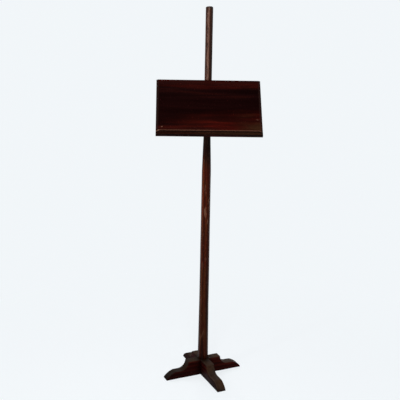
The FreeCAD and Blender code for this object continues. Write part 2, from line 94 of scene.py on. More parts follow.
def studio_material():
    """Pale paper: plain to the camera and to gloss far off, with the stand's shadow close by."""
    material = bpy.data.materials.new("studio_paper")
    material.use_nodes = True
    tree = material.node_tree
    tree.nodes.clear()
    paper = shader(tree, "BsdfDiffuse", {"Color": (0.9, 0.92, 0.94, 1)})
    plain = shader(tree, "Emission", {"Color": BACKGROUND, "Strength": 1.0})
    spot = shader(tree, "TexCoord").outputs["Object"]
    away = shader(tree, "VectorMath", {0: spot}, operation="LENGTH").outputs["Value"]
    far = shader(tree, "MapRange", {"Value": away, "From Min": SHADOW_NEAR, "From Max": SHADOW_FAR,
                                    "To Min": 0.8, "To Max": 1.0}, interpolation_type="SMOOTHSTEP")
    path = shader(tree, "LightPath").outputs
    seen = sum_of(tree, "MAXIMUM", path["Is Camera Ray"], path["Is Glossy Ray"])
    seen = sum_of(tree, "MAXIMUM", seen, path["Is Transmission Ray"])
    share = sum_of(tree, "MULTIPLY", seen, far.outputs["Result"])
    mixed = shader(tree, "MixShader", {"Fac": share, 1: paper.outputs[0], 2: plain.outputs[0]})
    shader(tree, "OutputMaterial", {"Surface": mixed.outputs[0]})
    return material


def studio_room():
    """A round floor with a wall, its foot swept up in a cove."""
    mesh = bmesh.new()
    bmesh.ops.create_circle(mesh, cap_ends=True, segments=96, radius=STUDIO_RADIUS)
    rim = [edge for edge in mesh.edges if edge.is_boundary]
    steps = 8
    for step in range(1, steps + 2):
        lifted = bmesh.ops.extrude_edge_only(mesh, edges=rim)["geom"]
        rim = [item for item in lifted if isinstance(item, bmesh.types.BMEdge)]
        angle = math.radians(90 * min(step, steps) / steps)
        out = STUDIO_RADIUS + WALL_COVE * math.sin(angle)
        height = WALL_COVE * (1 - math.cos(angle)) if step <= steps else WALL_TOP
        for corner in [item for item in lifted if isinstance(item, bmesh.types.BMVert)]:
            flat = Vector((corner.co.x, corner.co.y, 0)).normalized()
            corner.co = flat * out + Vector((0, 0, height))
    data = bpy.data.meshes.new("studio")
    mesh.to_mesh(data)
    mesh.free()
    data.materials.append(studio_material())
    room = bpy.data.objects.new("studio", data)
    scene.collection.objects.link(room)
    return room


def softbox(name, side, height, distance, size, watts, target=LAMP_TARGET):
    """A soft lamp, its side counted in degrees from the camera's own side, to the left."""
    data = bpy.data.lights.new(name, "AREA")
    data.shape = "RECTANGLE"
    data.size, data.size_y = size
    data.energy = watts
    lamp = bpy.data.objects.new(name, data)
    way = turn("Z", -side) @ Vector((0, -distance, 0))
    lamp.location = Vector((way.x, way.y, height))
    lamp.rotation_euler = (target - lamp.location).to_track_quat("-Z", "Y").to_euler()
    scene.collection.objects.link(lamp)


studio_room()
softbox("key_lamp", 6, 2.75, 3.0, (1.2, 1.1), 100)
softbox("strip_lamp", 50, 1.75, 3.0, (0.09, 1.3), 22, Vector((0, 0, 1.45)))
softbox("fill_lamp", -62, 2.4, 3.4, (1.8, 2.0), 12)
softbox("back_lamp", 168, 3.8, 2.8, (2.2, 2.0), 100)

world = bpy.data.worlds.new("studio_air")
world.use_nodes = True
air = world.node_tree
path = shader(air, "LightPath").outputs
seen = sum_of(air, "MAXIMUM", path["Is Camera Ray"], path["Is Glossy Ray"])
seen = sum_of(air, "MAXIMUM", seen, path["Is Transmission Ray"])
air_colour = shader(air, "MixRGB", {"Fac": seen, "Color1": WORLD_GREY, "Color2": BACKGROUND})
air.links.new(air_colour.outputs[0], air.nodes["Background"].inputs["Color"])
scene.world = world
scene.view_settings.view_transform = "Standard"

lens = bpy.data.cameras.new("photo_camera")
lens.sensor_width = SENSOR_MM
lens.lens = FOCAL_PIXELS / FRAME_PIXELS * SENSOR_MM
camera = bpy.data.objects.new("photo_camera", lens)
camera.matrix_world = (Matrix.Translation(CAMERA_PLACE) @ turn("Z", CAMERA_YAW) @ turn("X", -CAMERA_DOWN)
                       @ turn("Y", -CAMERA_ROLL) @ turn("X", 90))
scene.collection.objects.link(camera)
scene.camera = camera

# The crossed foot
# Two beams of dark stained hardwood, stepped down in a hollow to long toes and half-lapped where
# they cross. Their tops and ends are greyed partly by dust and scuffs and partly by a painted sheen and painted
# light, darker on the left with painted shade; their sides keep the red stain, and painted shade darkens both
# near the pole and along the floor.
BASE_TURN = 22
BEAM_MESH = 0.0016
BEAM_RUBS = 8
BEAM_UNEVEN = 0.0007
OFF_FLOOR = 0.0002


def stain(red, green, blue):
    """A colour given as it looks on a screen, from 0 to 255."""
    return tuple(((level / 255 + 0.055) / 1.055) ** 2.4 if level > 10 else level / 255 / 12.92
                 for level in (red, green, blue)) + (1,)


def new_group(name, inputs, outputs):
    """A shader group with named inputs and outputs."""
    tree = bpy.data.node_groups.new(name, "ShaderNodeTree")
    kinds = {float: "NodeSocketFloat", tuple: "NodeSocketColor", Vector: "NodeSocketVector"}
    for label, value in inputs.items():
        socket = tree.interface.new_socket(name=label, in_out="INPUT", socket_type=kinds[type(value)])
        socket.default_value = value
    for label, kind in outputs.items():
        tree.interface.new_socket(name=label, in_out="OUTPUT", socket_type=kinds[kind])
    return tree, tree.nodes.new("NodeGroupInput").outputs, tree.nodes.new("NodeGroupOutput").inputs


def use_group(tree, group, sockets):
    """Places a shader group and fills its inputs."""
    made = tree.nodes.new("ShaderNodeGroup")
    made.node_tree = group
    for name, value in sockets.items():
        if isinstance(value, bpy.types.NodeSocket):
            tree.links.new(value, made.inputs[name])
        else:
            made.inputs[name].default_value = value
    return made.outputs


def ramp(tree, value, low, high, to_low=0.0, to_high=1.0):
    """A smooth step between two levels of a value."""
    return shader(tree, "MapRange", {"Value": value, "From Min": low, "From Max": high, "To Min": to_low,
                                     "To Max": to_high}, interpolation_type="SMOOTHSTEP").outputs["Result"]


def blend_colour(tree, share, first, second, kind="MIX"):
    """One colour laid over another by a share."""
    return shader(tree, "MixRGB", {"Fac": share, "Color1": first, "Color2": second}, blend_type=kind).outputs[0]


def stretched(tree, place, *scale):
    """The same place with its axes scaled, which draws a pattern out."""
    return shader(tree, "VectorMath", {0: place, 1: scale}, operation="MULTIPLY").outputs[0]


def cloud(tree, place, scale, detail=4.0, roughness=0.6):
    """Soft irregular patches, from 0 to 1."""
    return shader(tree, "TexNoise", {"Vector": place, "Scale": scale, "Detail": detail,
                                     "Roughness": roughness}).outputs["Fac"]


def along(tree, place, way):
    """How far a place lies along a direction."""
    return shader(tree, "VectorMath", {0: place, 1: tuple(way)}, operation="DOT_PRODUCT").outputs["Value"]


def make_figure_group():
    """Straight hardwood grain along X: wide bands of colour, growth lines and fine open pores."""
    tree, given, out = new_group(
        "hardwood_figure",
        {"Place": Vector((0, 0, 0)), "Dark": stain(20, 5, 4), "Middle": stain(50, 18, 12),
         "Light": stain(80, 34, 24), "Band scale": 1.0, "Pore depth": 0.5},
        {"Color": tuple, "Height": float})
    drawn = stretched(tree, given["Place"], 0.9, 16, 16)
    bands = shader(tree, "TexNoise", {"Vector": drawn, "Scale": given["Band scale"], "Detail": 4.0,
                                      "Roughness": 0.55, "Distortion": 0.8}).outputs["Fac"]
    rings = shader(tree, "TexWave", {"Vector": drawn, "Scale": 1.1, "Distortion": 7.0, "Detail": 3.0,
                                     "Detail Scale": 0.7, "Detail Roughness": 0.6},
                   wave_type="BANDS", bands_direction="Z").outputs["Fac"]
    figure = sum_of(tree, "ADD", bands, ramp(tree, rings, 0.1, 0.95, -0.07, 0.07))
    low = blend_colour(tree, ramp(tree, figure, 0.34, 0.52), given["Dark"], given["Middle"])
    body = blend_colour(tree, ramp(tree, figure, 0.5, 0.7), low, given["Light"])
    pore = ramp(tree, cloud(tree, stretched(tree, given["Place"], 14, 620, 620), 1.0, 2.0, 0.5), 0.56, 0.68)
    depth = sum_of(tree, "MULTIPLY", pore, given["Pore depth"])
    tree.links.new(blend_colour(tree, depth, body, given["Dark"]), out["Color"])
    tree.links.new(sum_of(tree, "SUBTRACT", figure, depth), out["Height"])
    return tree


def make_wear_group(name, crisp):
    """Where arrises have been rubbed, broken up by patches: on crisp edges, or on a rounded fine mesh."""
    tree, given, out = new_group(
        name, {"Place": Vector((0, 0, 0)), "Width": 0.003, "Amount": 0.7}, {"Mask": float})
    geometry = shader(tree, "NewGeometry").outputs
    if crisp:
        eased = shader(tree, "Bevel", {"Radius": given["Width"]}, samples=6).outputs[0]
        facing = shader(tree, "VectorMath", {0: eased, 1: geometry["Normal"]}, operation="DOT_PRODUCT")
        edge = ramp(tree, facing.outputs["Value"], 0.995, 0.86)
    else:
        edge = ramp(tree, geometry["Pointiness"], 0.508, 0.54)
    patches = cloud(tree, given["Place"], 24.0, 4.0, 0.65)
    worn = sum_of(tree, "MULTIPLY", edge, ramp(tree, patches, 0.36, 0.62))
    tree.links.new(sum_of(tree, "MULTIPLY", worn, given["Amount"]), out["Mask"])
    return tree


def make_polish_group():
    """Old polish: patches of dull and bright, with a soft orange peel and small dents."""
    tree, given, out = new_group(
        "old_polish",
        {"Place": Vector((0, 0, 0)), "Bright": 0.3, "Dull": 0.5}, {"Roughness": float, "Height": float})
    share = ramp(tree, cloud(tree, given["Place"], 9.0, 5.0), 0.35, 0.68)
    rough = shader(tree, "MapRange", {"Value": share, "To Min": given["Bright"], "To Max": given["Dull"]})
    tree.links.new(rough.outputs["Result"], out["Roughness"])
    tree.links.new(ramp(tree, cloud(tree, given["Place"], 70.0, 3.0, 0.5), 0.3, 0.7), out["Height"])
    return tree


def make_dust_group():
    """Dust and scuffs that settle on what faces up."""
    tree, given, out = new_group(
        "settled_dust", {"Place": Vector((0, 0, 0)), "Amount": 0.5}, {"Mask": float})
    up = shader(tree, "SeparateXYZ", {0: shader(tree, "NewGeometry").outputs["Normal"]}).outputs["Z"]
    patches = cloud(tree, given["Place"], 30.0, 5.0, 0.7)
    level = sum_of(tree, "MULTIPLY", ramp(tree, up, 0.25, 0.9), ramp(tree, patches, 0.25, 0.7, 0.35, 1.0))
    tree.links.new(sum_of(tree, "MULTIPLY", level, given["Amount"]), out["Mask"])
    return tree


figure_group = make_figure_group()
crisp_wear = make_wear_group("rubbed_arris", True)
round_wear = make_wear_group("rubbed_round", False)
polish_group = make_polish_group()
dust_group = make_dust_group()


def wood(name, grain_turn, shift, dark, middle, light, worn, wear=0.6, wear_width=0.0025, rounded=False,
         dust=0.0, bright=0.3, dull=0.5, gloss=0.2, coat=0.0, coat_rough=0.26, band_scale=1.0, pore_depth=0.5,
         relief=0.35, tint=None):
    """A stained and polished hardwood. The turn brings the grain to X, and tint may recolour the figure."""
    material = bpy.data.materials.new(name)
    material.use_nodes = True
    tree = material.node_tree
    surface = tree.nodes["Principled BSDF"]
    spot = shader(tree, "TexCoord").outputs["Object"]
    angles = tuple(math.radians(angle) for angle in grain_turn)
    place = shader(tree, "Mapping", {"Vector": spot, "Rotation": angles, "Location": shift}).outputs[0]
    figure = use_group(tree, figure_group, {"Place": place, "Dark": dark, "Middle": middle, "Light": light,
                                            "Band scale": band_scale, "Pore depth": pore_depth})
    polish = use_group(tree, polish_group, {"Place": place, "Bright": bright, "Dull": dull})
    colour = figure["Color"]
    if tint:
        colour = tint(tree, spot, place, colour)
    wear_group = round_wear if rounded else crisp_wear
    rubbed = use_group(tree, wear_group, {"Place": spot, "Width": wear_width, "Amount": wear})["Mask"]
    colour = blend_colour(tree, rubbed, colour, worn)
    if dust:
        settled = use_group(tree, dust_group, {"Place": spot, "Amount": dust})["Mask"]
        colour = blend_colour(tree, settled, colour, stain(60, 52, 46))
    tree.links.new(colour, surface.inputs["Base Color"])
    tree.links.new(sum_of(tree, "MULTIPLY_ADD", rubbed, 0.2, polish["Roughness"]), surface.inputs["Roughness"])
    surface.inputs["Specular IOR Level"].default_value = gloss
    surface.inputs["Specular Tint"].default_value = (1, 0.6, 0.46, 1)
    surface.inputs["Coat Weight"].default_value = coat
    surface.inputs["Coat Roughness"].default_value = coat_rough
    height = sum_of(tree, "MULTIPLY_ADD", figure["Height"], 0.6, polish["Height"])
    bump = shader(tree, "Bump", {"Height": height, "Strength": relief, "Distance": 0.0006})
    tree.links.new(bump.outputs[0], surface.inputs["Normal"])
    return material


def place_piece(mesh, name, body, material, nodes=()):
    """Makes a finished mesh a piece of the stand: it rides on its body and stands for its nodes."""
    data = bpy.data.meshes.new(name)
    mesh.to_mesh(data)
    mesh.free()
    data.materials.append(material)
    piece = bpy.data.objects.new(name, data)
    scene.collection.objects.link(piece)
    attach(piece, body)
    if nodes:
        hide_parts(*nodes)
    return piece


def solid_copy(node):
    """The solid of a node as a mesh with flat faces whole."""
    mesh = bmesh.new()
    mesh.from_mesh(frame["nodes"][node].data)
    bmesh.ops.remove_doubles(mesh, verts=mesh.verts, dist=1e-6)
    bmesh.ops.dissolve_limit(mesh, angle_limit=math.radians(0.5), verts=mesh.verts, edges=mesh.edges)
    return mesh


def hand_worked(mesh, fineness, rubs, uneven, lumps, grain_turn=0):
    """A blank remade as a fine even mesh: its arrises rubbed round, its faces slightly uneven."""
    bmesh.ops.rotate(mesh, verts=mesh.verts, matrix=turn("Z", -grain_turn))
    data = bpy.data.meshes.new("blank")
    mesh.to_mesh(data)
    blank = bpy.data.objects.new("blank", data)
    scene.collection.objects.link(blank)
    even = blank.modifiers.new("even_mesh", "REMESH")
    even.mode = "VOXEL"
    even.voxel_size = fineness
    rubbed = blank.modifiers.new("rubbed_round", "SMOOTH")
    rubbed.factor = 0.5
    rubbed.iterations = rubs
    ready = blank.evaluated_get(bpy.context.evaluated_depsgraph_get())
    mesh.clear()
    mesh.from_mesh(ready.to_mesh())
    ready.to_mesh_clear()
    bpy.data.objects.remove(blank)
    bpy.data.meshes.remove(data)
    bmesh.ops.rotate(mesh, verts=mesh.verts, matrix=turn("Z", grain_turn))
    mesh.normal_update()
    for corner in mesh.verts:
        corner.co += corner.normal * noise.noise(corner.co * lumps) * uneven
    for face in mesh.faces:
        face.smooth = True
    return mesh


def foot_beam(node, name, side_turn, shift):
    """One beam of the foot, red on its two sides, greyed on top and along its profile by dust and scuffs and by a
    painted sheen and painted light, with painted shade on the left, near the pole and along the floor.
    """
    across = turn("Z", side_turn) @ Vector((0, 1, 0))

    def finish(tree, spot, place, colour):
        facing = sum_of(tree, "ABSOLUTE", along(tree, shader(tree, "TexCoord").outputs["Normal"], across), 0)
        streaks = cloud(tree, stretched(tree, place, 3, 26, 26), 2.2, 5.0, 0.7)
        grey = blend_colour(tree, ramp(tree, streaks, 0.3, 0.7), stain(30, 23, 20), stain(54, 45, 39))
        browner = cloud(tree, place, 7.0, 3.0)
        grey = blend_colour(tree, ramp(tree, browner, 0.4, 0.62), grey, stain(48, 31, 19))
        sideways = shader(tree, "SeparateXYZ", {0: spot}).outputs["X"]
        painted_left_shade = ramp(tree, sideways, -0.09, -0.02, 0.35, 1.0)
        # Painted shade: the grey of the tops is darkened towards the left.
        grey = shader(tree, "VectorMath", {0: grey, "Scale": painted_left_shade}, operation="SCALE").outputs[0]
        # Grey on every face that doesn't face sideways: partly dust and scuffs, partly a painted sheen and painted
        # light on the tops and ends.
        share = sum_of(tree, "MULTIPLY", ramp(tree, facing, 0.85, 0.4), ramp(tree, streaks, 0.2, 0.55, 0.75, 1.0))
        sheen_and_dust_greyed = blend_colour(tree, share, colour, grey)
        # Painted shade: darker around the pole, where the beams meet it, and along the floor.
        flat = stretched(tree, spot, 1, 1, 0)
        middle = shader(tree, "VectorMath", {0: flat}, operation="LENGTH").outputs["Value"]
        painted_shade = ramp(tree, middle, 0.024, 0.062, 0.3, 1.0)
        low = shader(tree, "SeparateXYZ", {0: spot}).outputs["Z"]
        painted_shade = sum_of(tree, "MULTIPLY", painted_shade, ramp(tree, low, 0.0, 0.02, 0.55, 1.0))
        painted_shade_colour = shader(tree, "VectorMath", {0: sheen_and_dust_greyed, "Scale": painted_shade}, operation="SCALE").outputs[0]
        return painted_shade_colour

    material = wood(name, (0, 0, -side_turn), shift, stain(12, 1, 1), stain(26, 3, 2), stain(46, 9, 6),
                    stain(62, 42, 33), wear=0.28, rounded=True, bright=0.5, dull=0.7, gloss=0.03, tint=finish)
    shaped = hand_worked(solid_copy(node), BEAM_MESH, BEAM_RUBS, BEAM_UNEVEN, 22, side_turn)
    for corner in shaped.verts:
        corner.co.z = max(corner.co.z, OFF_FLOOR)
    place_piece(shaped, name, "stand", material, [node])


foot_beam("side_foot_beam", "side_beam_worn", BASE_TURN, (0, 0.3, 0.1))
foot_beam("front_foot_beam", "front_beam_worn", BASE_TURN - 90, (0.4, 0, 0.7))

# The wedge
# A thin wedge of bare wood, driven into the foot of the tenon and planed flush with the beams.
wedge_wood = wood("bare_wedge_wood", (0, 90, 0), (0.2, 0.2, 0), stain(96, 66, 42), stain(128, 92, 60),
                  stain(150, 112, 76), stain(160, 124, 90), bright=0.6, dull=0.8)
frame["nodes"]["tenon_wedge"].data.materials.clear()
frame["nodes"]["tenon_wedge"].data.materials.append(wedge_wood)

# The pole
# One tall piece of red-brown hardwood: eight tapered sides with rubbed arrises below, turned round
# above its neck with a domed top, and a round tenon through the foot.
POLE_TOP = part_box("pole")[1].z
TENON_TOP = 0.072
TENON_RADIUS = 0.014
WAIST_Z, NECK_Z, ROUND_Z = 0.332, 0.950, 1.105
FOOT_FACET, WAIST_FACET, TOP_FACET = 0.0226, 0.0204, 0.0173
ARRIS_WEAR = 0.0006
ARRIS_SOFT = 0.00035
TOP_RADIUS = 0.0155
DOME = 0.007
DOME_STEPS = 9
POLE_SIDES = 96
POLE_RINGS = 150
PLANED_UNEVEN = 0.0003
TURNED_UNEVEN = 0.00007
HANDLED_COAT = 0.12
# How far left of the middle the painted highlight runs on the pole's round top.
PAINTED_HIGHLIGHT_OFFSET = 0.0034


def facet_at(height):
    """Half the width across the flats of the eight-sided shaft."""
    if height < WAIST_Z:
        share = (height - TENON_TOP) / (WAIST_Z - TENON_TOP)
        return FOOT_FACET + (WAIST_FACET - FOOT_FACET) * share
    share = (height - WAIST_Z) / (POLE_TOP - WAIST_Z)
    return WAIST_FACET + (TOP_FACET - WAIST_FACET) * share


def turned_at(height):
    """The radius that the pole was turned or rubbed to."""
    if height > ROUND_Z:
        return TOP_RADIUS
    corner = facet_at(min(height, NECK_Z)) / math.cos(math.radians(22.5)) - ARRIS_WEAR
    if height < NECK_Z:
        return corner
    share = (height - NECK_Z) / (ROUND_Z - NECK_Z)
    return corner + (TOP_RADIUS - corner) * share


def pole_radius(angle, height):
    """The shaft's radius in one direction: the lesser of its flat and its turned radius."""
    if height < TENON_TOP:
        return TENON_RADIUS
    from_flat = (math.degrees(angle) - BASE_TURN + 22.5) % 45 - 22.5
    flat = facet_at(height) / math.cos(math.radians(from_flat))
    turned = turned_at(height)
    least = min(flat, turned)
    eased = ARRIS_SOFT * math.log(math.exp((least - flat) / ARRIS_SOFT) + math.exp((least - turned) / ARRIS_SOFT))
    uneven = TURNED_UNEVEN if height > ROUND_Z else PLANED_UNEVEN
    return least - eased + uneven * noise.noise(Vector((math.cos(angle) * 1.5, math.sin(angle) * 1.5, height * 9)))


def make_pole():
    """Rings drawn up from the tenon to the dome, each pushed out to the pole's section."""
    shaft = POLE_TOP - DOME - TENON_TOP
    levels = [(TENON_TOP - 0.0005, None)]
    levels += [(TENON_TOP + shaft * step / POLE_RINGS, None) for step in range(POLE_RINGS + 1)]
    for step in range(1, DOME_STEPS):
        angle = math.radians(90 * step / DOME_STEPS)
        levels.append((POLE_TOP - DOME * (1 - math.sin(angle)), TOP_RADIUS * math.cos(angle)))
    levels.append((POLE_TOP, TOP_RADIUS * 0.08))
    mesh = bmesh.new()
    bmesh.ops.create_circle(mesh, cap_ends=True, segments=POLE_SIDES, radius=TENON_RADIUS,
                            matrix=Matrix.Translation((0, 0, 0.0003)))
    rim = [edge for edge in mesh.edges if edge.is_boundary]
    for height, radius in levels:
        lifted = bmesh.ops.extrude_edge_only(mesh, edges=rim)["geom"]
        rim = [item for item in lifted if isinstance(item, bmesh.types.BMEdge)]
        for corner in [item for item in lifted if isinstance(item, bmesh.types.BMVert)]:
            angle = math.atan2(corner.co.y, corner.co.x)
            out = radius or pole_radius(angle, height)
            corner.co = Vector((math.cos(angle) * out, math.sin(angle) * out, height))
    bmesh.ops.contextual_create(mesh, geom=rim)
    bmesh.ops.recalc_face_normals(mesh, faces=mesh.faces)
    shade_smooth(mesh, 50)
    return mesh


def shade_smooth(mesh, sharp=35):
    """Smooth faces, but crisp where two of them meet at more than the sharp angle."""
    for face in mesh.faces:
        face.smooth = True
    for edge in mesh.edges:
        edge.smooth = len(edge.link_faces) == 2 and edge.calc_face_angle() < math.radians(sharp)


def pole_finish(tree, spot, place, colour):
    """Darker towards the foot, with painted shade just above it, a painted shadow of the board at the neck and painted
    shade on the dome; a browner top where hands and the desk have rubbed it, with painted shade on its right side and a
    painted highlight left of its front.
    """
    height = shader(tree, "SeparateXYZ", {0: spot}).outputs["Z"]
    drift = cloud(tree, stretched(tree, spot, 8, 8, 3), 1.0, 3.0)
    moved = sum_of(tree, "MULTIPLY_ADD", drift, 0.3, height)
    lower = blend_colour(tree, ramp(tree, moved, 0.3, 0.98), stain(142, 140, 136), stain(246, 250, 248))
    colour = blend_colour(tree, 1.0, colour, lower, "MULTIPLY")
    hue = cloud(tree, stretched(tree, spot, 14, 14, 12), 1.0, 3.0)
    cast = blend_colour(tree, ramp(tree, hue, 0.4, 0.6), stain(238, 205, 200), stain(238, 255, 228))
    colour = blend_colour(tree, 1.0, colour, cast, "MULTIPLY")
    flecks = cloud(tree, stretched(tree, spot, 120, 120, 20), 1.0, 3.0)
    flecked = sum_of(tree, "MULTIPLY", ramp(tree, flecks, 0.57, 0.68), ramp(tree, height, 0.5, 0.9, 0.2, 0.6))
    colour = blend_colour(tree, flecked, colour, stain(108, 74, 56))
    rubbed = sum_of(tree, "MULTIPLY", ramp(tree, moved, 1.2, 1.35), 0.9)
    mottled = cloud(tree, stretched(tree, spot, 60, 60, 30), 1.0, 5.0, 0.65)
    # The handled top: mottled brown, with painted shade on its right side and a painted highlight streak left of its
    # front.
    handled_with_painted_light = blend_colour(tree, ramp(tree, mottled, 0.4, 0.62), stain(38, 17, 10), stain(66, 37, 27))
    sideways = shader(tree, "SeparateXYZ", {0: spot}).outputs["X"]
    sideways = sum_of(tree, "MULTIPLY_ADD", sum_of(tree, "SUBTRACT", mottled, 0.5), 0.016, sideways)
    handled_with_painted_light = blend_colour(tree, ramp(tree, sideways, -0.001, 0.0055, 0.0, 0.95), handled_with_painted_light, stain(20, 6, 2))
    off_highlight = sum_of(tree, "ABSOLUTE", sum_of(tree, "ADD", sideways, PAINTED_HIGHLIGHT_OFFSET), 0)
    painted_highlight = sum_of(tree, "MULTIPLY", ramp(tree, off_highlight, 0.0058, 0.0012), ramp(tree, mottled, 0.3, 0.6, 0.4, 0.85))
    handled_with_painted_light = blend_colour(tree, painted_highlight, handled_with_painted_light, stain(104, 76, 64))
    colour = blend_colour(tree, rubbed, colour, handled_with_painted_light)
    # Painted shadow of the board across the neck, painted shade just above the foot where the beams meet the pole, and
    # painted shade on the dome.
    painted_board_shadow = sum_of(tree, "MULTIPLY", ramp(tree, moved, 1.07, 1.22), ramp(tree, height, 1.2, 1.13))
    painted_shade = sum_of(tree, "MULTIPLY", ramp(tree, height, TENON_TOP, TENON_TOP + 0.025, 0.35, 1.0),
                   ramp(tree, painted_board_shadow, 0.0, 1.0, 1.0, 0.22))
    painted_shade = sum_of(tree, "MULTIPLY", painted_shade, ramp(tree, height, POLE_TOP - 0.016, POLE_TOP - 0.004, 1.0, 0.3))
    return shader(tree, "VectorMath", {0: colour, "Scale": painted_shade}, operation="SCALE").outputs[0]


pole_wood = wood("pole_wood", (0, 90, 0), (0.1, 0.5, 0.3), stain(46, 12, 4), stain(82, 31, 9), stain(106, 50, 21),
                 stain(112, 64, 44), wear=0.3, wear_width=0.003, bright=0.3, dull=0.46, gloss=0.05, coat=0.03,
                 coat_rough=0.17, band_scale=1.6, relief=0.4, tint=pole_finish)
pole_tree = pole_wood.node_tree
pole_rise = shader(pole_tree, "SeparateXYZ", {0: shader(pole_tree, "TexCoord").outputs["Object"]}).outputs["Z"]
pole_tree.links.new(ramp(pole_tree, pole_rise, 1.14, 1.3, 0.03, HANDLED_COAT),
                    pole_tree.nodes["Principled BSDF"].inputs["Coat Weight"])
place_piece(make_pole(), "pole_shaped", "stand", pole_wood, ["pole"])

# The clamp block
# A block of the same wood with clipped corners, which slides on the pole and carries the desk.
LEAST_ARRIS = 0.0016


def eased_copy(node, soft, segments=2):
    """The shape of a wooden piece with its arrises eased, but not the rims of its small holes."""
    mesh = solid_copy(node)
    arrises = [edge for edge in mesh.edges if len(edge.link_faces) == 2
               and edge.calc_face_angle() > math.radians(28) and edge.calc_length() > LEAST_ARRIS]
    bmesh.ops.bevel(mesh, geom=arrises, offset=soft, segments=segments, profile=0.5, affect="EDGES",
                    material=-1, clamp_overlap=True)
    low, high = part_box(node)
    for corner in mesh.verts:
        corner.co = Vector(min(max(value, least), most) for value, least, most in zip(corner.co, low, high))
    bmesh.ops.remove_doubles(mesh, verts=mesh.verts, dist=3e-6)
    shade_smooth(mesh)
    return mesh


block_wood = wood("clamp_block_wood", (0, 0, 0), (0.7, 0.2, 0.9), stain(26, 7, 4), stain(50, 17, 10),
                  stain(72, 29, 18), stain(108, 68, 50), wear=0.6, bright=0.4, dull=0.55)
place_piece(eased_copy("clamp_block", 0.0005), "clamp_block_worn", "collar", block_wood, ["clamp_block"])

# The hand screw
# Turned from a closer wood and flattened for finger and thumb, polished by handling. Its thread
# shows between the block and the shoulder.
screw_low, screw_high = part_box("hand_screw")
SCREW_AXIS_Z = (screw_low.z + screw_high.z) / 2
THREAD_PITCH = 0.004
THREAD_CREST, THREAD_ROOT = 0.008, 0.0070
THREAD_END = 0.0500
THREAD_SIDES = 40
THREAD_STEPS = 8
SOCKET_RADIUS, SOCKET_DEPTH = 0.0031, 0.0051
GRIP_MESH = 0.0007


def thread_radius(angle, distance):
    """The radius of the right-hand thread at an angle round the screw and a distance along it."""
    phase = (distance / THREAD_PITCH - angle / (2 * math.pi)) % 1
    height = 1 - abs(2 * phase - 1)
    rounded = height * height * (3 - 2 * height)
    return THREAD_ROOT + (THREAD_CREST - THREAD_ROOT) * rounded


def make_thread():
    """Rings drawn from the socket round the tip and along the screw, each pushed out to the thread."""
    length = THREAD_END - screw_low.y
    rings = round(length / THREAD_PITCH * THREAD_STEPS)
    mesh = bmesh.new()
    bmesh.ops.create_circle(mesh, cap_ends=True, segments=THREAD_SIDES, radius=SOCKET_RADIUS,
                            matrix=Matrix.Translation((0, 0, SOCKET_DEPTH)))
    rim = [edge for edge in mesh.edges if edge.is_boundary]
    levels = [(0, SOCKET_RADIUS), (0, THREAD_ROOT - 0.0005)]
    levels += [(length * step / rings, None) for step in range(rings + 1)]
    for distance, radius in levels:
        lifted = bmesh.ops.extrude_edge_only(mesh, edges=rim)["geom"]
        rim = [item for item in lifted if isinstance(item, bmesh.types.BMEdge)]
        for corner in [item for item in lifted if isinstance(item, bmesh.types.BMVert)]:
            angle = math.atan2(corner.co.y, corner.co.x)
            out = radius or thread_radius(angle, distance)
            corner.co = Vector((math.cos(angle) * out, math.sin(angle) * out, distance))
    bmesh.ops.contextual_create(mesh, geom=rim)
    bmesh.ops.recalc_face_normals(mesh, faces=mesh.faces)
    bmesh.ops.transform(mesh, verts=mesh.verts, matrix=Matrix.Translation((0, screw_low.y, SCREW_AXIS_Z))
                        @ turn("X", -90))
    shade_smooth(mesh, 60)
    return mesh


def make_grip():
    """The shoulder and the flat grip, without the shank, with every arris rubbed round."""
    mesh = solid_copy("hand_screw")
    bmesh.ops.bisect_plane(mesh, geom=mesh.verts[:] + mesh.edges[:] + mesh.faces[:], dist=1e-7,
                           plane_co=(0, THREAD_END - 0.0001, 0), plane_no=(0, -1, 0), clear_outer=True)
    bmesh.ops.holes_fill(mesh, edges=[edge for edge in mesh.edges if edge.is_boundary])
    return hand_worked(mesh, GRIP_MESH, 4, 0.00025, 60)


grip_wood = wood("hand_screw_wood", (0, 0, -90), (0.2, 0.9, 0.4), stain(40, 13, 7), stain(80, 32, 18),
                 stain(108, 50, 30), stain(140, 90, 64), wear=0.5, rounded=True, bright=0.26, dull=0.42, gloss=0.4,
                 coat=0.1)
place_piece(make_grip(), "hand_screw_grip", "screw", grip_wood, ["hand_screw"])
place_piece(make_thread(), "hand_screw_thread", "screw", grip_wood, ["hand_screw"])

# The shoe
# A brass shoe on the screw's tip, hollowed to the pole so that it doesn't mark it.


def metal(name, colour, dull_colour, rough):
    """A dulled metal with fine scratches and darker tarnish."""
    material = bpy.data.materials.new(name)
    material.use_nodes = True
    tree = material.node_tree
    surface = tree.nodes["Principled BSDF"]
    tarnish = cloud(tree, shader(tree, "TexCoord").outputs["Object"], 260.0)
    tree.links.new(blend_colour(tree, ramp(tree, tarnish, 0.35, 0.65), colour, dull_colour),
                   surface.inputs["Base Color"])
    tree.links.new(ramp(tree, tarnish, 0.3, 0.7, rough, rough + 0.25), surface.inputs["Roughness"])
    surface.inputs["Metallic"].default_value = 1.0
    return material


brass = metal("dulled_brass", stain(176, 140, 78), stain(110, 80, 44), 0.32)
frame["nodes"]["screw_shoe"].data.materials.clear()
frame["nodes"]["screw_shoe"].data.materials.append(brass)

# The desk board
# A single board with its grain across, darkened in the middle by handling and redder along its top
# and foot, bevelled along both sides with a painted sheen on the bevels, and with a chip and a scratch near the ledge.
SLOPE = 54
UP_SLOPE = turn("X", SLOPE) @ Vector((0, 1, 0))
OFF_BOARD = turn("X", SLOPE) @ Vector((0, 0, 1))
BOARD_FACE = OFF_BOARD.dot(Vector(next(mount for mount in frame["record"]["mounts"]
                                       if mount["name"] == "desk_face")["pos_m"]))
board_low, board_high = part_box("desk_board")
BOARD_TOP = UP_SLOPE.dot(Vector((0, -0.029, board_high.z)))
CHIP = (-0.1936, 0.2262)
SCRATCH = (0.1986, 0.1901)


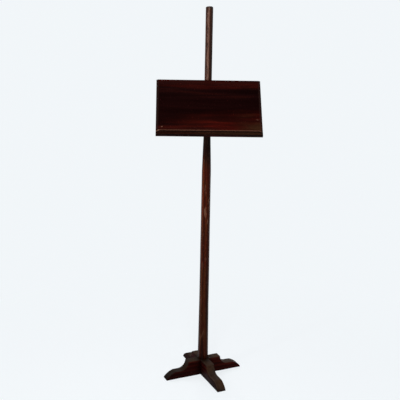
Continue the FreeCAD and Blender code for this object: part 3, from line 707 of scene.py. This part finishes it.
def board_marks(tree, spot, place, colour):
    """The board's colours by how far down the slope they lie, a painted sheen on its side bevels, and its two small
    marks.
    """
    upward = along(tree, spot, UP_SLOPE)
    down = sum_of(tree, "SUBTRACT", BOARD_TOP, upward)
    across = shader(tree, "SeparateXYZ", {0: spot}).outputs["X"]
    streaks = cloud(tree, stretched(tree, place, 3.5, 55, 55), 1.0, 4.0, 0.6)
    wide = cloud(tree, stretched(tree, place, 3.0, 12, 12), 1.0, 3.0)
    moved = sum_of(tree, "MULTIPLY_ADD", wide, 0.07, down)
    top_band = ramp(tree, moved, 0.088, 0.05, 0.0, 0.72)
    slanted = sum_of(tree, "MULTIPLY_ADD", across, 0.14, moved)
    low_band = ramp(tree, slanted, 0.185, 0.26)
    right = ramp(tree, across, -0.2, 0.06, 0.3, 1.0)
    low_band = sum_of(tree, "MULTIPLY", low_band, right)
    low_band = sum_of(tree, "MAXIMUM", low_band, ramp(tree, moved, 0.24, 0.268, 0.0, 0.85))
    face = ramp(tree, along(tree, spot, OFF_BOARD), BOARD_FACE - 0.004, BOARD_FACE - 0.002)
    warm = sum_of(tree, "MULTIPLY", sum_of(tree, "MAXIMUM", top_band, low_band), ramp(tree, face, 0, 1, 0.3, 1.0))
    bright = sum_of(tree, "MULTIPLY", warm, ramp(tree, streaks, 0.36, 0.66, 0.5, 0.92))
    red = blend_colour(tree, ramp(tree, streaks, 0.42, 0.7), stain(42, 9, 6), stain(62, 13, 7))
    glow = sum_of(tree, "MULTIPLY", ramp(tree, across, -0.06, 0.06), ramp(tree, across, 0.21, 0.09))
    glow = sum_of(tree, "MULTIPLY", glow, ramp(tree, moved, 0.228, 0.262))
    glow = sum_of(tree, "MULTIPLY", glow, ramp(tree, streaks, 0.36, 0.6, 0.15, 0.75))
    red = blend_colour(tree, glow, red, stain(88, 11, 5))
    olive = sum_of(tree, "MULTIPLY", ramp(tree, across, 0.08, 0.2), ramp(tree, wide, 0.4, 0.62))
    red = blend_colour(tree, olive, red, stain(56, 32, 18))
    colour = blend_colour(tree, bright, colour, red)
    # Painted sheen: the side bevels are greyed as if they caught the light.
    edge = ramp(tree, sum_of(tree, "ABSOLUTE", across, 0), 0.2065, 0.2110)
    colour = blend_colour(tree, sum_of(tree, "MULTIPLY", edge, 0.6), colour, stain(36, 22, 20))
    marked = 0
    ragged = sum_of(tree, "MULTIPLY", sum_of(tree, "SUBTRACT", cloud(tree, spot, 520.0, 3.0, 0.7), 0.5), 4.0)
    for mark, half_across, half_down in ((CHIP, 0.0032, 0.0018), (SCRATCH, 0.0052, 0.0009)):
        sideways = sum_of(tree, "DIVIDE", sum_of(tree, "SUBTRACT", across, mark[0]), half_across)
        updown = sum_of(tree, "DIVIDE", sum_of(tree, "SUBTRACT", down, mark[1]), half_down)
        spread = sum_of(tree, "ADD", sum_of(tree, "MULTIPLY", sideways, sideways),
                        sum_of(tree, "MULTIPLY_ADD", updown, updown, ragged))
        marked = sum_of(tree, "ADD", marked, ramp(tree, spread, 1.6, 0.5))
    marked = sum_of(tree, "MULTIPLY", marked, face)
    return blend_colour(tree, marked, colour, stain(98, 70, 56))


board_wood = wood("desk_board_wood", (-SLOPE, 0, 0), (0.3, 0.1, 0.2), stain(10, 1, 1), stain(17, 3, 3),
                  stain(31, 7, 5), stain(72, 46, 38), wear=0.3, bright=0.42, dull=0.58, gloss=0.01,
                  band_scale=1.3, tint=board_marks, relief=0.3)
place_piece(eased_copy("desk_board", 0.0007), "desk_board_worn", "desk", board_wood, ["desk_board"])

# The ledge
# A moulded strip screwed to the foot of the board: a nose rubbed pale by books and carrying a painted highlight,
# a flute and a bead, with its ends cut back to a hip.
LEDGE_FOOT = UP_SLOPE.dot(Vector((0, -0.029, board_high.z))) - 0.265
LEDGE_DEPTH = 0.0128
HIP_RUN = 0.016


def ledge_wear(tree, spot, place, colour):
    """An olive cast to the right, painted shade in the flute and under the bead, a nose rubbed pale that also carries a
    painted highlight, and a painted highlight along the hips, stronger at the left end.
    """
    rise = sum_of(tree, "SUBTRACT", along(tree, spot, UP_SLOPE), LEDGE_FOOT)
    proud = sum_of(tree, "SUBTRACT", along(tree, spot, OFF_BOARD), BOARD_FACE)
    across = shader(tree, "SeparateXYZ", {0: spot}).outputs["X"]
    patches = cloud(tree, stretched(tree, place, 5, 30, 30), 2.0, 4.0, 0.65)
    olive = sum_of(tree, "MULTIPLY", ramp(tree, across, -0.12, 0.16), ramp(tree, patches, 0.3, 0.6, 0.5, 1.0))
    colour = blend_colour(tree, olive, colour, stain(38, 21, 11))
    # Painted shade in the flute and under the bead, where the moulding turns away from the light.
    flute_shade = sum_of(tree, "MULTIPLY", ramp(tree, rise, 0.0068, 0.0085), ramp(tree, rise, 0.0158, 0.0138))
    colour = blend_colour(tree, sum_of(tree, "MULTIPLY", flute_shade, 0.8), colour, stain(14, 5, 4))
    underside_shade = ramp(tree, rise, 0.0030, 0.0008)
    colour = blend_colour(tree, sum_of(tree, "MULTIPLY", underside_shade, 0.95), colour, stain(6, 1, 1))
    # The nose: rubbed pale by books, with a painted highlight along it.
    nose_wear_and_highlight = sum_of(tree, "MULTIPLY", ramp(tree, rise, 0.0130, 0.0155), ramp(tree, proud, 0.0055, 0.0085))
    rubbed = sum_of(tree, "MULTIPLY", nose_wear_and_highlight, ramp(tree, patches, 0.28, 0.56, 0.4, 1.0))
    colour = blend_colour(tree, rubbed, colour, stain(80, 50, 37))
    # Painted highlight on the hip edges, stronger at the left end, broken up by noise.
    from_end = sum_of(tree, "SUBTRACT", board_high.x, sum_of(tree, "ABSOLUTE", across, 0))
    off_hip = sum_of(tree, "MULTIPLY_ADD", from_end, -LEDGE_DEPTH / HIP_RUN, proud)
    hip_highlight = sum_of(tree, "MULTIPLY", ramp(tree, sum_of(tree, "ABSOLUTE", off_hip, 0), 0.0014, 0.0006),
                 ramp(tree, rise, 0.0125, 0.0165))
    hip_highlight = sum_of(tree, "MULTIPLY", hip_highlight, ramp(tree, across, -0.1, 0.1, 0.85, 0.3))
    highlight_breakup = cloud(tree, spot, 170.0, 3.0, 0.6)
    hip_highlight = sum_of(tree, "MULTIPLY", hip_highlight, ramp(tree, highlight_breakup, 0.32, 0.6, 0.3, 1.0))
    return blend_colour(tree, hip_highlight, colour, stain(104, 74, 60))


ledge_wood = wood("ledge_wood", (-SLOPE, 0, 0), (0.9, 0.4, 0.6), stain(12, 2, 1), stain(23, 6, 3), stain(36, 13, 7),
                  stain(80, 52, 40), wear=0.35, wear_width=0.002, bright=0.45, dull=0.62, gloss=0.015, tint=ledge_wear)
place_piece(eased_copy("ledge", 0.0003), "ledge_worn", "desk", ledge_wood, ["ledge"])

# The battens
# Three flat battens with chamfered backs keep the board flat; the middle one carries the arms.
back_wood = wood("batten_wood", (-SLOPE, 0, 90), (0.5, 0.8, 0.3), stain(30, 11, 7), stain(56, 26, 16),
                 stain(80, 42, 27), stain(112, 78, 58), wear=0.5, bright=0.5, dull=0.7, gloss=0.2)
for side in ("left", "right", "centre"):
    place_piece(eased_copy(side + "_batten", 0.0005), side + "_batten_worn", "desk", back_wood,
                [side + "_batten"])

# The arms
# Two bored arms reach back from the middle batten and go round the pole.
arm_wood = wood("arm_wood", (0, 0, -90), (0.2, 0.6, 0.8), stain(26, 8, 5), stain(50, 18, 11), stain(70, 30, 19),
                stain(110, 72, 52), wear=0.6, bright=0.42, dull=0.58)
for level in ("upper", "lower"):
    place_piece(eased_copy(level + "_arm", 0.0005), level + "_arm_worn", "desk", arm_wood,
                [level + "_arm"])

# The wood screws
# Old countersunk steel screws with dulled, slotted heads.
SLOT_WIDTH, SLOT_DEPTH = 0.0009, 0.0008
steel = metal("dulled_steel", stain(120, 112, 104), stain(64, 54, 46), 0.4)


def slotted(node):
    """The screws of a node with a slot sawn across each head."""
    mesh = solid_copy(node)
    widest = max(face.calc_area() for face in mesh.faces)
    heads = [(face.calc_center_median(), face.normal.copy()) for face in mesh.faces
             if face.calc_area() > 0.6 * widest]
    data = bpy.data.meshes.new(node + "_blank")
    mesh.to_mesh(data)
    mesh.clear()
    for number, (middle, outward) in enumerate(heads):
        to_head = outward.to_track_quat("Z", "Y").to_matrix().to_4x4()
        size = Matrix.Diagonal((0.012, SLOT_WIDTH, 2 * SLOT_DEPTH, 1))
        bmesh.ops.create_cube(mesh, size=1, matrix=Matrix.Translation(middle) @ to_head @ turn("Z", 67 * number) @ size)
    saw_data = bpy.data.meshes.new(node + "_saw")
    mesh.to_mesh(saw_data)
    blank = bpy.data.objects.new(node + "_blank", data)
    saw = bpy.data.objects.new(node + "_saw", saw_data)
    scene.collection.objects.link(blank)
    scene.collection.objects.link(saw)
    cut = blank.modifiers.new("slots", "BOOLEAN")
    cut.operation = "DIFFERENCE"
    cut.solver = "EXACT"
    cut.object = saw
    ready = blank.evaluated_get(bpy.context.evaluated_depsgraph_get())
    mesh.clear()
    mesh.from_mesh(ready.to_mesh())
    ready.to_mesh_clear()
    bpy.data.objects.remove(blank)
    bpy.data.objects.remove(saw)
    shade_smooth(mesh)
    return mesh


for group in ("batten_screws", "ledge_screws", "arm_screws"):
    place_piece(slotted(group), group + "_slotted", "desk", steel, [group])
